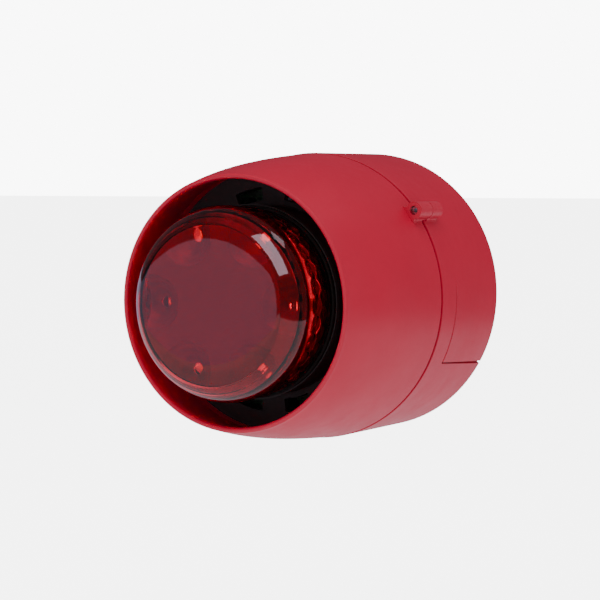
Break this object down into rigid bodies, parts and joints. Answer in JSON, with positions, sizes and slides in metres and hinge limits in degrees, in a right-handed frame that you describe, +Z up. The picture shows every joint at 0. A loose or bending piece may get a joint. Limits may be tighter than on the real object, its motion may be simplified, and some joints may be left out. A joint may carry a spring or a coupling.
{
  "type": "horn strobe",
  "caption": "Round red wall sounder with a beacon in the middle of its horn mouth, bayonet-locked on a deep wiring base with terminals, cable entries and a locking screw ear.",
  "frame": {"origin": "centre of the back face that lies on the wall", "axes": "+Z up on the wall; -Y out of the wall, so the beacon faces -Y; +X to the right for a viewer who faces the beacon"},
  "size_m": [0.0926, 0.1088, 0.0926],
  "materials": {
    "red_abs": "fine moulded texture, satin",
    "black_plastic": "fine moulded texture, matt",
    "grey_plastic": "moulded, satin",
    "white_plastic": "moulded, semi-gloss",
    "black_rubber": "moulded, matt",
    "steel": "bright zinc plate",
    "tinned": "tin plate",
    "spring_brass": "rolled strip",
    "white_ceramic": "fired, silvered",
    "lead_red": "insulated wire",
    "lead_black": "insulated wire",
    "board_green": "solder mask over copper",
    "board_white": "white solder mask",
    "can_sleeve": "shrunk sleeve",
    "ferrite": "ground ferrite",
    "chip_black": "moulded epoxy",
    "switch_red": "moulded, satin",
    "light_lens": "clear dome over a yellow chip",
    "reflector_satin": "metallised plastic, satin",
    "lens_red": "clear moulded polycarbonate, tinted through"
  },
  "bodies": {
    "base": {"deep_base": "red_abs", "wall_gasket": "black_rubber", "blanking_plug": "black_rubber", "contact_plate": "grey_plastic", "plate_screws": "steel", "terminal_block": "grey_plastic", "base_contacts": "spring_brass"},
    "seal": {"o_ring": "black_rubber"},
    "head": {"sounder_shell": "red_abs", "horn_baffle": "black_plastic", "baffle_screws": "steel", "piezo_seat": "grey_plastic", "piezo_disc": "spring_brass", "piezo_ceramic": "white_ceramic", "piezo_cap": "grey_plastic", "piezo_lead_red": "lead_red", "piezo_lead_black": "lead_black", "main_board": "board_green", "board_screws": "steel", "capacitors": "can_sleeve", "inductor": "ferrite", "controller_chip": "chip_black", "driver_chip": "chip_black", "link_header": "chip_black", "head_contacts": "tinned", "switch_body": "switch_red", "volume_body": "grey_plastic", "rear_cover": "black_plastic", "cover_screws": "steel", "beacon_board": "board_white", "beacon_standoffs": "tinned", "beacon_lights": "light_lens", "reflector": "reflector_satin", "lens": "lens_red", "lens_seal": "black_rubber"},
    "lock": {"locking_screw": "steel"},
    "volume": {"volume_rotor": "white_plastic"},
    "screw_1": {"terminal_screw_1": "steel"},
    "clamp_1": {"terminal_clamp_1": "tinned"},
    "screw_2": {"terminal_screw_2": "steel"},
    "clamp_2": {"terminal_clamp_2": "tinned"},
    "screw_3": {"terminal_screw_3": "steel"},
    "clamp_3": {"terminal_clamp_3": "tinned"},
    "screw_4": {"terminal_screw_4": "steel"},
    "clamp_4": {"terminal_clamp_4": "tinned"},
    "lever_1": {"switch_lever_1": "white_plastic"},
    "lever_2": {"switch_lever_2": "white_plastic"},
    "lever_3": {"switch_lever_3": "white_plastic"},
    "lever_4": {"switch_lever_4": "white_plastic"},
    "lever_5": {"switch_lever_5": "white_plastic"},
    "lever_6": {"switch_lever_6": "white_plastic"}
  },
  "joints": [
    {"name": "head_twist", "type": "hinge", "parent": "base", "child": "seal", "pos_m": [0, 0, 0], "axis": [0, -1, 0], "range_deg": [0, 20]},
    {"name": "head_lift", "type": "slide", "parent": "seal", "child": "head", "axis": [0, -1, 0], "range_m": [0, 0.07]},
    {"name": "locking_screw_travel", "type": "slide", "parent": "head", "child": "lock", "axis": [0, 1, 0], "range_m": [0, 0.006]},
    {"name": "volume_turn", "type": "hinge", "parent": "head", "child": "volume", "pos_m": [0.024, -0.049, -0.013], "axis": [0, -1, 0], "range_deg": [0, 270]},
    {"name": "terminal_screw_1_turn", "type": "hinge", "parent": "base", "child": "screw_1", "pos_m": [-0.012, -0.0385, 0.0115], "axis": [0, 1, 0], "range_deg": [0, 1440]},
    {"name": "terminal_clamp_1_rise", "type": "slide", "parent": "base", "child": "clamp_1", "axis": [0, -1, 0], "range_m": [0, 0.002]},
    {"name": "terminal_screw_2_turn", "type": "hinge", "parent": "base", "child": "screw_2", "pos_m": [-0.004, -0.0385, 0.0115], "axis": [0, 1, 0], "range_deg": [0, 1440]},
    {"name": "terminal_clamp_2_rise", "type": "slide", "parent": "base", "child": "clamp_2", "axis": [0, -1, 0], "range_m": [0, 0.002]},
    {"name": "terminal_screw_3_turn", "type": "hinge", "parent": "base", "child": "screw_3", "pos_m": [0.004, -0.0385, 0.0115], "axis": [0, 1, 0], "range_deg": [0, 1440]},
    {"name": "terminal_clamp_3_rise", "type": "slide", "parent": "base", "child": "clamp_3", "axis": [0, -1, 0], "range_m": [0, 0.002]},
    {"name": "terminal_screw_4_turn", "type": "hinge", "parent": "base", "child": "screw_4", "pos_m": [0.012, -0.0385, 0.0115], "axis": [0, 1, 0], "range_deg": [0, 1440]},
    {"name": "terminal_clamp_4_rise", "type": "slide", "parent": "base", "child": "clamp_4", "axis": [0, -1, 0], "range_m": [0, 0.002]},
    {"name": "switch_lever_1_slide", "type": "slide", "parent": "head", "child": "lever_1", "axis": [0, 0, 1], "range_m": [0, 0.0016]},
    {"name": "switch_lever_2_slide", "type": "slide", "parent": "head", "child": "lever_2", "axis": [0, 0, 1], "range_m": [0, 0.0016]},
    {"name": "switch_lever_3_slide", "type": "slide", "parent": "head", "child": "lever_3", "axis": [0, 0, 1], "range_m": [0, 0.0016]},
    {"name": "switch_lever_4_slide", "type": "slide", "parent": "head", "child": "lever_4", "axis": [0, 0, 1], "range_m": [0, 0.0016]},
    {"name": "switch_lever_5_slide", "type": "slide", "parent": "head", "child": "lever_5", "axis": [0, 0, 1], "range_m": [0, 0.0016]},
    {"name": "switch_lever_6_slide", "type": "slide", "parent": "head", "child": "lever_6", "axis": [0, 0, 1], "range_m": [0, 0.0016]}
  ],
  "couplings": [
    {"joint": "terminal_screw_1_turn", "follows": "terminal_clamp_1_rise", "rad_per_m": 12566},
    {"joint": "terminal_screw_2_turn", "follows": "terminal_clamp_2_rise", "rad_per_m": 12566},
    {"joint": "terminal_screw_3_turn", "follows": "terminal_clamp_3_rise", "rad_per_m": 12566},
    {"joint": "terminal_screw_4_turn", "follows": "terminal_clamp_4_rise", "rad_per_m": 12566}
  ]
}
